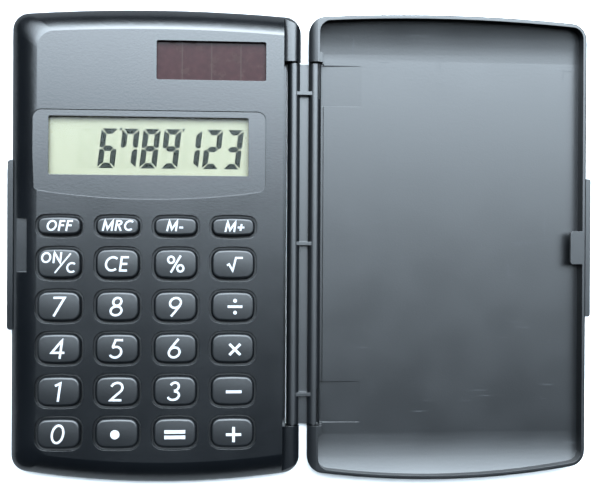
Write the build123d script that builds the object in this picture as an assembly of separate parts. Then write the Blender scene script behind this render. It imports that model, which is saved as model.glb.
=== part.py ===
from build123d import *
from math import asin, cos, degrees, radians, sin, sqrt
import os

# Pocket calculator with a flip cover that folds all the way round, lying open and flat.
# Frame: origin in the middle of the rear case's resting face, +X across the body towards the hinge and
# the opened cover, +Y towards the solar cell, +Z up out of the keys. Sizes are in millimetres.

# ---- driving dimensions -----------------------------------------------------------------------------
# Outline of the body, seen from above: straight long sides and bowed ends.
# An end is given by its Y at the free corner, in the middle and at the hinge corner.
FREE_X = -34.4
HINGE_X = 33.9
HIGH_END = (54.6, 56.25, 55.05)
LOW_END = (53.05, 56.4, 54.1)
CORNER = 4.0

# Heights of the body
FLOOR = 1.1
PARTING_Z = 2.15
BEVEL_Z = 3.0
CEILING_Z = 5.7
DECK_Z = 6.9
WALL = 1.3
REAR_INSET = 0.1

# The convex bevel round the deck: how far the deck's edge lies inside the outline
FREE_BEVEL = 6.3
END_BEVEL = 5.2
BEVEL_POWER = 1.43
DECK_RIGHT = 29.7
HINGE_WALL = 1.2

# Hinge: two parallel axes at the height of the parting plane, centred a little towards the solar cell
HINGE_Y = 0.6
AXIS_BODY_X = 32.35
AXIS_COVER_X = 37.45
BARREL_R = 1.5
NOTCH_HALF = 43.9
LINK_HALF = 43.6
PIN_R = 0.65
PIN_FIT = 0.05
PIN_LENGTH = 2.2
WEB_THICK = 0.9
RIB_PLACES = (-36.4, 0.1, 36.4)
RIB_HALF = 0.425
RIB_TOP = 1.3
SLIT_LENGTH = 8.5
SLIT_WIDTH = 0.34
SLIT_OFFSET = 0.85
POST_CREST = 4.5
POST_SHOULDER = 4.05
POST_EDGE_Z = 3.4

# Sills: thin strips of the rear case and of the cover that close the gaps under the barrels
SILL_TOP_Z = 0.6
BODY_SILL_X = 30.7
COVER_SILL_X = 39.1

# Cover
COVER_DEPTH = 4.7
COVER_WALL = 0.9
COVER_FLOOR = 1.1
COVER_POST_WALL = 2.55
COVER_FLAT_HALF = 45.5
COVER_CURVE_R = 42.0
COVER_EDGE_R = 2.0
COVER_NOTCH_X = 39.7
COVER_CORNER_STEP = 1.2
RIM_R = 0.4
COVER_CREST = 2.0
RECESS_DEPTH = 0.6
RECESS_END_X = 49.0
RECESS_LOW, RECESS_HIGH = 33.6, 43.5
COVER_BOSS_X, COVER_BOSS_LENGTH = 39.3, 2.4
COVER_BOSS_LOW_Z, COVER_BOSS_HIGH_Z = 0.5, 4.1

# Keys: four columns and six rows, with a lower row of keys at the top
KEY_COLUMNS = [-22.75, -9.25, 4.3, 17.8]
KEY_ROWS = [4.5, -4.3, -14.3, -24.2, -34.2, -44.1]
KEY_WIDTH = 10.3
KEY_HEIGHT = 7.3
SMALL_KEY_HEIGHT = 4.7
KEY_TOP_Z = 8.0
KEY_CROWN_R = 44.0
KEY_DRAFT = 0.15
KEY_EDGE_R = 0.7
KEY_CORNER, SMALL_KEY_CORNER = 2.3, 1.7
KEY_BOW_SIDES, KEY_BOW_ENDS = 0.2, 0.35
HOLE_MARGIN = 0.5
FLANGE_MARGIN = 0.9
FLANGE_BOTTOM_Z = 4.95
FLANGE_TOP_Z = 5.65
PLUNGER_R = 1.6
KEY_NAMES = [
    ["off", "mrc", "m_minus", "m_plus"],
    ["on_c", "ce", "percent", "sqrt"],
    ["7", "8", "9", "divide"],
    ["4", "5", "6", "multiply"],
    ["1", "2", "3", "minus"],
    ["0", "point", "equals", "plus"],
]

# Circuit board and the rubber dome sheet on it
BOARD_BOTTOM_Z = 2.0
BOARD_TOP_Z = 2.8
BOARD_LEFT, BOARD_RIGHT = -27.0, 27.0
BOARD_LOW, BOARD_HIGH = -48.6, 36.2
SHEET_TOP_Z = 3.2
DOME_TOP_Z = 4.3
DOME_ROOF = 0.4
DOME_R = 3.3
DOME_TOP_R = 2.2
PILL_R = 1.5
PILL_THICK = 0.4
SHEET_HIGH = 8.0
CHIP_X, CHIP_Y, CHIP_R, CHIP_HEIGHT = -2.5, 10.6, 2.3, 0.9
CAPACITOR_X, CAPACITOR_Y, CAPACITOR_R, CAPACITOR_HEIGHT = 19.0, 10.8, 1.9, 1.3
RESISTOR_PLACES = (-22.5, -20.5, 5.5)
RESISTOR_LOW, RESISTOR_WIDTH, RESISTOR_LENGTH, RESISTOR_HEIGHT = 9.8, 0.9, 1.7, 0.5

# Display: window, sunken panel round it, and the stack behind it
WINDOW = (-25.5, 21.3, 16.6, 30.35)
PANEL_LEFT, PANEL_RIGHT = -29.1, 25.4
PANEL_TOP, PANEL_SIDE_LOW, PANEL_BOW_LOW = 31.85, 13.0, 10.9
PANEL_DEPTH_TOP, PANEL_DEPTH_LOW = 0.35, 0.1
PANEL_CORNER = 2.0
WINDOW_CORNER = 0.4
GLASS = (-27.1, 22.9, 14.5, 32.5)
LENS_MARGIN = 1.4
LEDGE = 2.2
LENS_Z = 4.9
FRONT_GLASS_Z = 4.15
REAR_GLASS_Z = 3.6
REFLECTOR_Z = 3.45
GLASS_THICK = 0.55
FILM = 0.15
FRAME_GAP, FRAME_RIB, FRAME_LOW_Z = 0.2, 0.8, 4.2

# Solar cell and its window
SOLAR_WINDOW = (-0.4, 25.4, 39.2, 48.4)
SOLAR_MARGIN = 1.0
SOLAR_Z = 4.75
SOLAR_TOP_Z = 5.65
SOLAR_BACKING = 0.1
WIRE_R = 0.3

# Button cell
CELL_X, CELL_Y = -15.0, 43.5
CELL_R = 5.8
CELL_Z = 1.3
CELL_HEIGHT = 3.05
CELL_STEP_R, CELL_STEP_HEIGHT = 5.45, 0.6
CONTACT_THICK = 0.2
CONTACT_HALF = 1.5
NEGATIVE_DISC_R = 4.6
HOLDER_GAP, HOLDER_WALL, HOLDER_TOP_Z = 0.15, 0.95, 4.0

# Fasteners
CASE_SCREWS = [(-26.3, 48.6), (25.9, 51.6), (-26.0, -51.0), (26.0, -51.3)]
CASE_BOSS_R = 2.0
CASE_SHAFT_R = 0.9
CASE_HEAD_R = 1.7
CASE_HEAD_TOP_Z = 1.15
BOARD_SCREWS = [(x, y) for y in (10.0, -19.25, -39.15) for x in (-16.0, 11.05)]
BOARD_BOSS_R = 1.4
BOARD_SHAFT_R = 0.65
BOARD_HEAD_R = 1.3
BOARD_HEAD_Z = 1.25
CASE_HEAD_Z = 0.2
HEAD_GAP = 0.2
CROSS_DEPTH = 0.4
CROSS_HALF = 0.22
SCREW_FIT = 0.05
SCREW_TOP_Z = 4.9
PILOT_TOP_Z = 5.1

# Latch: a tab on the cover's rim and the slot that it snaps in
TAB_HALF = 4.05
TAB_THICK = 0.9
TAB_TIP_X = 100.35
SLOT_HALF = 6.35
SLOT_LEFT, SLOT_RIGHT = -33.25, -30.3
SLOT_FLOOR_Z = 4.5
SLOT_ROOM = 1.25
SLOT_LIP = 0.2
SLOT_WALL = 1.0
SLOT_BLOCK_Z = 3.4, 6.3

# Thumb lips, which stand out from the free edges of the body and of the cover
BODY_LIP_HALF, BODY_LIP_OUT, BODY_LIP_TOP_Z = 20.1, 1.1, 3.5
COVER_LIP_HALF, COVER_LIP_OUT = 16.9, 1.2
COVER_LIP_BELOW_RIM = 1.5, 0.25

# ---- values worked out from them --------------------------------------------------------------------
PIN_END = LINK_HALF + PIN_LENGTH
BORE_R = PIN_R + PIN_FIT
BORE_END = PIN_END + 0.2
INNER_RIGHT = DECK_RIGHT - HINGE_WALL
END_MAX = max(HIGH_END[1], LOW_END[1])
CLEAR = 1.0
HINGE_EDGE = AXIS_COVER_X - BARREL_R
COVER_FAR_X = AXIS_BODY_X + AXIS_COVER_X - FREE_X


# ---- helpers ----------------------------------------------------------------------------------------
def block(x0, x1, y0, y1, z0, z1):
    """Box between two corners."""
    size = Box(x1 - x0, y1 - y0, z1 - z0)
    return Pos((x0 + x1) / 2, (y0 + y1) / 2, (z0 + z1) / 2) * size


def post(x, y, radius, z0, z1):
    """Upright cylinder between two heights."""
    return Pos(x, y, (z0 + z1) / 2) * Cylinder(radius, z1 - z0)


def bar(x, z, radius, y0, y1):
    """Cylinder that lies along Y."""
    return Pos(x, (y0 + y1) / 2, z) * Rot(90, 0, 0) * Cylinder(radius, y1 - y0)


def solid_of(shape):
    """The largest solid of a boolean result."""
    return shape.solids().sort_by(SortBy.VOLUME)[-1]


def bow_height(end, x, inset):
    """Distance of a bowed end from the middle of the body at x, with the end moved inwards."""
    free, middle, hinge = end
    arc = ThreePointArc((FREE_X, free), (0, middle), (HINGE_X, hinge))
    centre = arc.arc_center
    return centre.Y + sqrt((arc.radius - inset) ** 2 - (x - centre.X) ** 2)


def outline(z, free=0.0, end=0.0, hinge=0.0, corner=CORNER):
    """Flat face of the body's outline at height z, with each kind of side moved inwards."""
    x0 = FREE_X + free
    x1 = HINGE_X - hinge
    high = [bow_height(HIGH_END, x, end) for x in (x0, 0, x1)]
    low = [-bow_height(LOW_END, x, end) for x in (x0, 0, x1)]
    edges = [
        Line((x0, low[0]), (x0, high[0])),
        ThreePointArc((x0, high[0]), (0, high[1]), (x1, high[2])),
        Line((x1, high[2]), (x1, low[2])),
        ThreePointArc((x1, low[2]), (0, low[1]), (x0, low[0])),
    ]
    face = make_face(edges)
    return Pos(0, 0, z) * fillet(face.vertices(), corner)


def pad(width, height, corner, bow_sides, bow_ends):
    """Flat rounded rectangle whose four sides bulge a little, as keys and their holes do."""
    x = width / 2
    y = height / 2
    cx = x - bow_sides
    cy = y - bow_ends
    edges = [
        ThreePointArc((-cx, cy), (0, y), (cx, cy)),
        ThreePointArc((cx, cy), (x, 0), (cx, -cy)),
        ThreePointArc((cx, -cy), (0, -y), (-cx, -cy)),
        ThreePointArc((-cx, -cy), (-x, 0), (-cx, cy)),
    ]
    face = make_face(edges)
    return fillet(face.vertices(), corner)


def key_pad(row, margin=0.0):
    """Outline of a key in a row, grown all round by a margin."""
    height = SMALL_KEY_HEIGHT if row == 0 else KEY_HEIGHT
    corner = SMALL_KEY_CORNER if row == 0 else KEY_CORNER
    width = KEY_WIDTH + 2 * margin
    return pad(width, height + 2 * margin, corner + margin, KEY_BOW_SIDES, KEY_BOW_ENDS)


def both_ends(shape):
    """The shape and its mirror image at the other end of the hinge."""
    pair = [shape, mirror(shape, about=Plane.XZ)]
    return [Pos(0, HINGE_Y, 0) * one for one in pair]


# ---- body -------------------------------------------------------------------------------------------
def bevel_angle(z):
    """Angle along the bevel's curve at which it reaches height z."""
    share = (z - BEVEL_Z) / (DECK_Z - BEVEL_Z)
    return degrees(asin(share ** (1 / BEVEL_POWER)))


def bevelled_body(inside, hinge, top_z):
    """Solid from the parting plane up to top_z, with upright walls that turn into the convex bevel."""
    corner = CORNER - inside
    wall = extrude(outline(PARTING_Z, inside, inside, hinge, corner), BEVEL_Z - PARTING_Z)
    steps = 6
    sections = []
    for step in range(steps + 1):
        angle = radians(bevel_angle(top_z) * step / steps)
        rise = sin(angle) ** BEVEL_POWER
        inset = 1 - cos(angle) ** BEVEL_POWER
        z = BEVEL_Z + (DECK_Z - BEVEL_Z) * rise
        free = inside + FREE_BEVEL * inset
        end = inside + END_BEVEL * inset
        sections.append(outline(z, free, end, hinge, corner))
    return wall + loft(sections)


def hinge_notch():
    """Room for the link between the body's posts."""
    y0 = HINGE_Y - NOTCH_HALF
    y1 = HINGE_Y + NOTCH_HALF
    return block(DECK_RIGHT, HINGE_X + CLEAR, y0, y1, -CLEAR, DECK_Z + CLEAR)


def pin_bores(x):
    """Blind bores for the link's pins, in both posts."""
    return both_ends(bar(x, PARTING_Z, BORE_R, NOTCH_HALF - CLEAR, BORE_END))


def above_post_crown():
    """Everything above the crowned posts at the hinge side of the deck."""
    top = DECK_Z + CLEAR
    outer = HINGE_X + CLEAR
    crest_x = (DECK_RIGHT + HINGE_X) / 2
    edges = [
        Line((DECK_RIGHT, top), (DECK_RIGHT, POST_SHOULDER)),
        ThreePointArc((DECK_RIGHT, POST_SHOULDER), (crest_x, POST_CREST), (HINGE_X, POST_EDGE_Z)),
        Line((HINGE_X, POST_EDGE_Z), (outer, POST_EDGE_Z)),
        Line((outer, POST_EDGE_Z), (outer, top)),
        Line((outer, top), (DECK_RIGHT, top)),
    ]
    side = Plane.XZ * make_face(edges)
    return extrude(side, END_MAX + CLEAR, both=True)


def display_panel():
    """Cutter of the sunken panel round the display: bowed at the bottom, deeper at the top."""
    middle = (PANEL_LEFT + PANEL_RIGHT) / 2
    edges = [
        Line((PANEL_LEFT, PANEL_SIDE_LOW), (PANEL_LEFT, PANEL_TOP)),
        Line((PANEL_LEFT, PANEL_TOP), (PANEL_RIGHT, PANEL_TOP)),
        Line((PANEL_RIGHT, PANEL_TOP), (PANEL_RIGHT, PANEL_SIDE_LOW)),
        ThreePointArc(
            (PANEL_RIGHT, PANEL_SIDE_LOW), (middle, PANEL_BOW_LOW), (PANEL_LEFT, PANEL_SIDE_LOW)
        ),
    ]
    face = make_face(edges)
    prism = extrude(Pos(0, 0, CEILING_Z) * fillet(face.vertices(), PANEL_CORNER), DECK_Z)
    length = PANEL_TOP - PANEL_BOW_LOW
    slope = asin((PANEL_DEPTH_TOP - PANEL_DEPTH_LOW) / length)
    low_edge = Pos(0, PANEL_BOW_LOW, DECK_Z - PANEL_DEPTH_LOW) * Rot(-degrees(slope), 0, 0)
    above = low_edge * block(-60, 60, -30, 60, 0, 10)
    return prism & above


def latch_slot():
    """Pocket in the free bevel for the cover's tab, with a small overhang that holds the tab."""
    half = SLOT_HALF
    pocket = block(SLOT_LEFT, SLOT_RIGHT, -half, half, SLOT_FLOOR_Z, SLOT_FLOOR_Z + SLOT_ROOM)
    mouth = block(SLOT_LEFT, SLOT_RIGHT - SLOT_LIP, -half, half, SLOT_FLOOR_Z, DECK_Z)
    return pocket + mouth


def latch_wall():
    """Block inside the free bevel that the latch slot is cut into."""
    half = SLOT_HALF + SLOT_WALL
    return block(SLOT_LEFT - SLOT_WALL, SLOT_RIGHT + SLOT_WALL, -half, half, *SLOT_BLOCK_Z)


def body_lip():
    """Thumb lip on the free side of the body."""
    half = BODY_LIP_HALF
    lip = block(FREE_X - BODY_LIP_OUT, FREE_X + WALL / 2, -half, half, PARTING_Z, BODY_LIP_TOP_Z)
    free_corners = lip.edges().filter_by(Axis.Z).group_by(Axis.X)[0]
    return fillet(free_corners, 0.8)


def deck_openings():
    """Cutters of the display window, the solar window and the key holes."""
    cutters = []
    for x0, x1, y0, y1 in (WINDOW, SOLAR_WINDOW):
        opening = block(x0, x1, y0, y1, CEILING_Z - CLEAR, DECK_Z + CLEAR)
        cutters.append(fillet(opening.edges().filter_by(Axis.Z), WINDOW_CORNER))
    for _, row, x, y in key_places():
        hole = extrude(Pos(0, 0, CEILING_Z - CLEAR) * key_pad(row, HOLE_MARGIN), DECK_Z)
        cutters.append(Pos(x, y, 0) * hole)
    return cutters


def deck_underside():
    """Frame that holds the display glass, and the bosses for both sets of screws."""
    x0, x1, y0, y1 = GLASS
    gap = FRAME_GAP
    out = FRAME_GAP + FRAME_RIB
    inner = block(x0 - out, x1 + out, y0 - out, y1 + out, FRAME_LOW_Z, CEILING_Z)
    inner -= block(x0 - gap, x1 + gap, y0 - gap, y1 + gap, FRAME_LOW_Z, CEILING_Z)
    for x, y in CASE_SCREWS:
        inner += post(x, y, CASE_BOSS_R, PARTING_Z, CEILING_Z)
    for x, y in BOARD_SCREWS:
        inner += post(x, y, BOARD_BOSS_R, BOARD_TOP_Z, CEILING_Z)
    return inner


def front_case():
    outer = bevelled_body(0, 0, DECK_Z)
    case = outer - bevelled_body(WALL, HINGE_X - INNER_RIGHT, CEILING_Z)
    case += outer & latch_wall()
    case -= above_post_crown()
    case -= hinge_notch()
    case += body_lip()
    case -= latch_slot()
    case -= display_panel()
    for cutter in deck_openings():
        case -= cutter
    case += deck_underside() & outer
    for x, y in CASE_SCREWS:
        case -= post(x, y, CASE_SHAFT_R + SCREW_FIT, PARTING_Z - CLEAR, PILOT_TOP_Z)
    for x, y in BOARD_SCREWS:
        case -= post(x, y, BOARD_SHAFT_R + SCREW_FIT, BOARD_TOP_Z - CLEAR, PILOT_TOP_Z)
    for bore in pin_bores(AXIS_BODY_X):
        case -= bore
    return solid_of(case)


def cell_holder():
    """Ring round the button cell, open where the negative contact's tab leaves it."""
    radius = CELL_R + HOLDER_GAP
    ring = post(CELL_X, CELL_Y, radius + HOLDER_WALL, FLOOR / 2, HOLDER_TOP_Z)
    ring -= post(CELL_X, CELL_Y, radius, FLOOR, HOLDER_TOP_Z)
    tab_gap = block(CELL_X - 5.5, CELL_X - 2.5, CELL_Y - 9, CELL_Y, FLOOR, HOLDER_TOP_Z)
    return ring - tab_gap


def rear_case():
    edge = REAR_INSET
    shell = extrude(outline(0, edge, edge, edge), PARTING_Z)
    shell = fillet(shell.faces().sort_by(Axis.Z)[0].edges(), 0.9)
    cavity = outline(FLOOR, WALL, WALL, HINGE_X - INNER_RIGHT, CORNER - WALL)
    shell -= extrude(cavity, PARTING_Z)
    shell -= hinge_notch()
    y0 = HINGE_Y - NOTCH_HALF
    y1 = HINGE_Y + NOTCH_HALF
    shell += block(INNER_RIGHT, BODY_SILL_X, y0, y1, 0, SILL_TOP_Z)
    for x, y in CASE_SCREWS:
        shell += post(x, y, CASE_BOSS_R + 2 * HEAD_GAP, FLOOR / 2, PARTING_Z)
        shell -= post(x, y, CASE_HEAD_R + HEAD_GAP, -CLEAR, CASE_HEAD_TOP_Z)
        shell -= post(x, y, CASE_SHAFT_R + HEAD_GAP, 0, PARTING_Z + CLEAR)
    shell += cell_holder()
    for bore in pin_bores(AXIS_BODY_X):
        shell -= bore
    return solid_of(shell)


# ---- hinge link -------------------------------------------------------------------------------------
def hinge_link():
    """Two barrels joined by a web on their lower side, with three ribs and a pin at each end."""
    half = LINK_HALF
    low = PARTING_Z - BARREL_R
    link = block(AXIS_BODY_X, AXIS_COVER_X, -half, half, low, low + WEB_THICK)
    for x in (AXIS_BODY_X, AXIS_COVER_X):
        link += bar(x, PARTING_Z, BARREL_R, -half, half)
        link += bar(x, PARTING_Z, PIN_R, -PIN_END, PIN_END)
    rib_x0 = AXIS_BODY_X + RIB_HALF
    rib_x1 = AXIS_COVER_X - RIB_HALF
    for y in RIB_PLACES:
        link += block(rib_x0, rib_x1, y - RIB_HALF, y + RIB_HALF, low, PARTING_Z + RIB_TOP)
    link = Pos(0, HINGE_Y, 0) * link
    x0 = AXIS_COVER_X + SLIT_OFFSET - SLIT_WIDTH / 2
    slit_low = PARTING_Z - WEB_THICK
    slit = block(x0, x0 + SLIT_WIDTH, half - SLIT_LENGTH, half + CLEAR, slit_low, DECK_Z)
    for cut in both_ends(slit):
        link -= cut
    return solid_of(link)


# ---- flip cover -------------------------------------------------------------------------------------
def cover_face(z, inset, hinge, corner):
    """Outline of the cover lying open: the body's outline turned over about the hinge."""
    face = mirror(outline(z, inset, inset, hinge, corner), about=Plane.YZ)
    return Pos(AXIS_BODY_X + AXIS_COVER_X, 0, 0) * face


def cover_profile(offset):
    """Everything above the cover's long profile: flat in the middle, curving up to both ends."""
    top = COVER_DEPTH + 5 * CLEAR
    flat = COVER_FLAT_HALF
    end = END_MAX + CLEAR
    radius = COVER_CURVE_R - offset
    centre_z = COVER_CURVE_R
    bend = asin((end - flat) / radius)
    half_bend = bend / 2

    def at(angle, side):
        return (side * (flat + radius * sin(angle)), centre_z - radius * cos(angle))

    edges = [
        Line(at(0, -1), at(0, 1)),
        ThreePointArc(at(0, 1), at(half_bend, 1), at(bend, 1)),
        Line(at(bend, 1), (end, top)),
        Line((end, top), (-end, top)),
        Line((-end, top), at(bend, -1)),
        ThreePointArc(at(bend, -1), at(half_bend, -1), at(0, -1)),
    ]
    side = Plane.YZ * make_face(edges)
    return extrude(side, AXIS_BODY_X + AXIS_COVER_X - FREE_X + CLEAR)


def cover_recess():
    """Shallow tapered recess beside the hinge, deepest at the hinge."""
    x0 = COVER_SILL_X
    x1 = RECESS_END_X
    low, high = COVER_FLOOR - RECESS_DEPTH, COVER_FLOOR
    edges = [
        Line((x0, low), (x1, high)),
        Line((x1, high), (x0, high)),
        Line((x0, high), (x0, low)),
    ]
    side = Plane.XZ * make_face(edges)
    return Pos(0, RECESS_HIGH, 0) * extrude(side, RECESS_HIGH - RECESS_LOW)


def cover_tray():
    """Hollow tray of the cover, before its hinge side is worked."""
    tray = extrude(cover_face(0, 0, 0, CORNER), COVER_DEPTH) & cover_profile(0)
    lower = tray.edges().filter_by(lambda e: e.center().Z < COVER_EDGE_R)
    tray = fillet(lower, COVER_EDGE_R)
    rim = tray.faces().sort_by(Axis.Z)[-1].edges()
    tray = fillet(rim, RIM_R)
    corner = CORNER - COVER_CORNER_STEP
    inside = extrude(cover_face(0, COVER_WALL, COVER_POST_WALL, corner), COVER_DEPTH + CLEAR)
    return tray - (inside & cover_profile(COVER_FLOOR))


def cover_bosses():
    """Bosses beside the cover's posts, which give the pins their length."""
    y0 = NOTCH_HALF
    y1 = NOTCH_HALF + COVER_BOSS_LENGTH
    boss = block(HINGE_EDGE + CLEAR, COVER_BOSS_X, y0, y1, COVER_BOSS_LOW_Z, COVER_BOSS_HIGH_Z)
    corner = boss.edges().filter_by(Axis.Z).group_by(Axis.X)[-1].sort_by(Axis.Y)[-1]
    return both_ends(fillet(corner, 0.6))


def above_cover_crown():
    """Everything above the rounded shoulder of the cover's posts."""
    x0 = HINGE_EDGE - CLEAR
    crest_x = HINGE_EDGE + COVER_CREST
    top = COVER_DEPTH + CLEAR
    edges = [
        ThreePointArc((x0, 2.6), (HINGE_EDGE + 0.6, 4.15), (crest_x, COVER_DEPTH)),
        Line((crest_x, COVER_DEPTH), (crest_x, top)),
        Line((crest_x, top), (x0, top)),
        Line((x0, top), (x0, 2.6)),
    ]
    return extrude(Plane.XZ * make_face(edges), END_MAX + CLEAR, both=True)


def cover_notch():
    """Room for the link between the cover's posts, with a sill left at the bottom."""
    y0 = HINGE_Y - NOTCH_HALF
    y1 = HINGE_Y + NOTCH_HALF
    top = COVER_DEPTH + CLEAR
    room = block(HINGE_EDGE - CLEAR, COVER_SILL_X, y0, y1, -CLEAR, top)
    return room + block(HINGE_EDGE, COVER_NOTCH_X, y0, y1, SILL_TOP_Z, top)


def latch_tab():
    """Tab on the inside of the cover's rim that snaps in the body's slot."""
    z0 = COVER_DEPTH - TAB_THICK
    tab = block(TAB_TIP_X, COVER_FAR_X - COVER_WALL / 2, -TAB_HALF, TAB_HALF, z0, COVER_DEPTH)
    return fillet(tab.edges().filter_by(Axis.Z).group_by(Axis.X)[0], 0.7)


def cover_lip():
    """Thumb lip on the cover's free edge."""
    half = COVER_LIP_HALF
    below = COVER_LIP_BELOW_RIM
    z0 = COVER_DEPTH - below[0]
    z1 = COVER_DEPTH - below[1]
    lip = block(COVER_FAR_X - COVER_WALL / 2, COVER_FAR_X + COVER_LIP_OUT, -half, half, z0, z1)
    return fillet(lip.edges().filter_by(Axis.Z).group_by(Axis.X)[-1], 0.6)


def flip_cover():
    cover = cover_tray()
    for boss in cover_bosses():
        cover += boss
    cover -= above_cover_crown()
    cover -= cover_notch()
    for recess in both_ends(cover_recess()):
        cover -= recess
    for bore in pin_bores(AXIS_COVER_X):
        cover -= bore
    cover += latch_tab()
    cover += cover_lip()
    return solid_of(cover)


# ---- keys -------------------------------------------------------------------------------------------
def key(row):
    """Key with a crowned cap, a flange that keeps it in its hole, and a plunger for the dome."""
    cap_base = FLANGE_TOP_Z - 0.2
    narrow_top = Pos(0, 0, KEY_TOP_Z + 0.5) * key_pad(row, -KEY_DRAFT)
    cap = loft([Pos(0, 0, cap_base) * key_pad(row), narrow_top])
    cap &= Pos(0, 0, KEY_TOP_Z - KEY_CROWN_R) * Sphere(KEY_CROWN_R)
    cap = fillet(cap.faces().sort_by(Axis.Z)[-1].edges(), KEY_EDGE_R)
    flange_face = Pos(0, 0, FLANGE_BOTTOM_Z) * key_pad(row, FLANGE_MARGIN)
    flange = extrude(flange_face, FLANGE_TOP_Z - FLANGE_BOTTOM_Z)
    plunger = post(0, 0, PLUNGER_R, DOME_TOP_Z, FLANGE_BOTTOM_Z)
    return solid_of(cap + flange + plunger)


def key_places():
    """Name, row and place of every key."""
    for row, y in enumerate(KEY_ROWS):
        for column, x in enumerate(KEY_COLUMNS):
            yield "key_" + KEY_NAMES[row][column], row, x, y


# ---- under the keys ---------------------------------------------------------------------------------
def dome_sheet():
    """Rubber sheet with a hollow dome under each key and holes for the board's bosses."""
    x0, x1 = BOARD_LEFT + 0.5, BOARD_RIGHT - 1.5
    sheet = block(x0, x1, BOARD_LOW + 0.2, SHEET_HIGH, BOARD_TOP_Z, SHEET_TOP_Z)
    rise = DOME_TOP_Z - SHEET_TOP_Z
    roof_z = DOME_TOP_Z - DOME_ROOF
    inner_rise = roof_z - BOARD_TOP_Z
    outer = Pos(0, 0, SHEET_TOP_Z + rise / 2) * Cone(DOME_R, DOME_TOP_R, rise)
    skin = DOME_ROOF
    hollow = Cone(DOME_R - skin, DOME_TOP_R - skin, inner_rise)
    inner = Pos(0, 0, BOARD_TOP_Z + inner_rise / 2) * hollow
    for _, _, x, y in key_places():
        sheet += Pos(x, y, 0) * outer
        sheet -= Pos(x, y, 0) * inner
    for x, y in BOARD_SCREWS:
        sheet -= post(x, y, BOARD_BOSS_R + HEAD_GAP, BOARD_BOTTOM_Z, SHEET_TOP_Z + CLEAR)
    return solid_of(sheet)


def contact_pills():
    """Carbon pill under the roof of each dome."""
    roof_z = DOME_TOP_Z - DOME_ROOF
    return [post(x, y, PILL_R, roof_z - PILL_THICK, roof_z) for _, _, x, y in key_places()]


def circuit_board():
    board = block(BOARD_LEFT, BOARD_RIGHT, BOARD_LOW, BOARD_HIGH, BOARD_BOTTOM_Z, BOARD_TOP_Z)
    board = fillet(board.edges().filter_by(Axis.Z), 1.0)
    for x, y in BOARD_SCREWS:
        board -= post(x, y, BOARD_SHAFT_R + SCREW_FIT, 0, DECK_Z)
    return solid_of(board)


def chip_epoxy():
    """Hard drop over the chip."""
    drop = post(CHIP_X, CHIP_Y, CHIP_R, BOARD_TOP_Z, BOARD_TOP_Z + CHIP_HEIGHT)
    return fillet(drop.faces().sort_by(Axis.Z)[-1].edges(), 0.7)


def resistors():
    """Three chip resistors on the board."""
    y0, y1 = RESISTOR_LOW, RESISTOR_LOW + RESISTOR_LENGTH
    z0, z1 = BOARD_TOP_Z, BOARD_TOP_Z + RESISTOR_HEIGHT
    return [block(x, x + RESISTOR_WIDTH, y0, y1, z0, z1) for x in RESISTOR_PLACES]


def capacitor():
    can = post(CAPACITOR_X, CAPACITOR_Y, CAPACITOR_R, BOARD_TOP_Z, BOARD_TOP_Z + CAPACITOR_HEIGHT)
    return fillet(can.faces().sort_by(Axis.Z)[-1].edges(), 0.25)


# ---- display ----------------------------------------------------------------------------------------
def lcd_window():
    """Clear lens behind the window."""
    x0, x1, y0, y1 = WINDOW
    m = LENS_MARGIN
    lens = block(x0 - m, x1 + m, y0 - m, y1 + m, LENS_Z, CEILING_Z)
    return fillet(lens.edges().filter_by(Axis.Z), 0.5)


def glass_layer(low_step, z, thick):
    """One layer of the display, set back from the lower edge by low_step."""
    x0, x1, y0, y1 = GLASS
    return block(x0, x1, y0 + low_step, y1, z, z + thick)


def lcd_polariser_front():
    x0, x1, y0, y1 = GLASS
    z = FRONT_GLASS_Z + GLASS_THICK
    return block(x0 + 0.5, x1 - 0.5, y0 + 0.7, y1 - 0.5, z, z + FILM)


def zebra_strip():
    """Conductive rubber strip between the board and the ledge of the front glass."""
    x0, x1, y0, _ = GLASS
    return block(x0 + 2, x1 - 2, y0 + 0.2, y0 + LEDGE - 0.4, BOARD_TOP_Z, FRONT_GLASS_Z)


# ---- power ------------------------------------------------------------------------------------------
def solar_layer(shrink, z0, z1):
    """Plate behind the solar window, a little smaller all round than the cell if shrunk."""
    x0, x1, y0, y1 = SOLAR_WINDOW
    m = SOLAR_MARGIN - shrink
    return block(x0 - m, x1 + m, y0 - m, y1 + m, z0, z1)


def solar_foam_pad():
    """Pad between the rear case and the cell, which presses the cell up to its window."""
    x0, x1, y0, y1 = SOLAR_WINDOW
    return block(x0 + 3, x1 - 3, y0 + 2.5, y1 - 1, FLOOR, SOLAR_Z - SOLAR_BACKING)


def wire(start, path):
    """Round wire that leaves start along its path."""
    section = Plane(origin=start, z_dir=path % 0) * Circle(WIRE_R)
    return sweep(section, path=path)


def solar_wires():
    """Two wires that hang from the cell and curve down on to the board."""
    wires = []
    for x in (3.0, 6.0):
        start = (x, SOLAR_WINDOW[2] + WIRE_R, SOLAR_Z - SOLAR_BACKING)
        end = (x, BOARD_HIGH - 1, BOARD_TOP_Z)
        wires.append(wire(start, Spline(start, end, tangents=[(0, 0, -1), (0, 0, -1)])))
    return wires


def button_cell():
    step_z = CELL_Z + CELL_STEP_HEIGHT
    lower = post(CELL_X, CELL_Y, CELL_STEP_R, CELL_Z, step_z)
    can = post(CELL_X, CELL_Y, CELL_R, step_z, CELL_Z + CELL_HEIGHT)
    return solid_of(lower + fillet(can.faces().sort_by(Axis.Z)[-1].edges(), 0.3))


def battery_contact_positive():
    """Strip over the cell with a leg beside its holder."""
    top = CELL_Z + CELL_HEIGHT
    x0, x1 = CELL_X - CONTACT_HALF, CELL_X + CONTACT_HALF
    leg_y = CELL_Y - CELL_R - 1.4
    strip = block(x0, x1, leg_y, CELL_Y + 2, top, top + CONTACT_THICK)
    leg = block(x0, x1, leg_y, leg_y + CONTACT_THICK, FLOOR, top)
    return solid_of(strip + leg)


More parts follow.
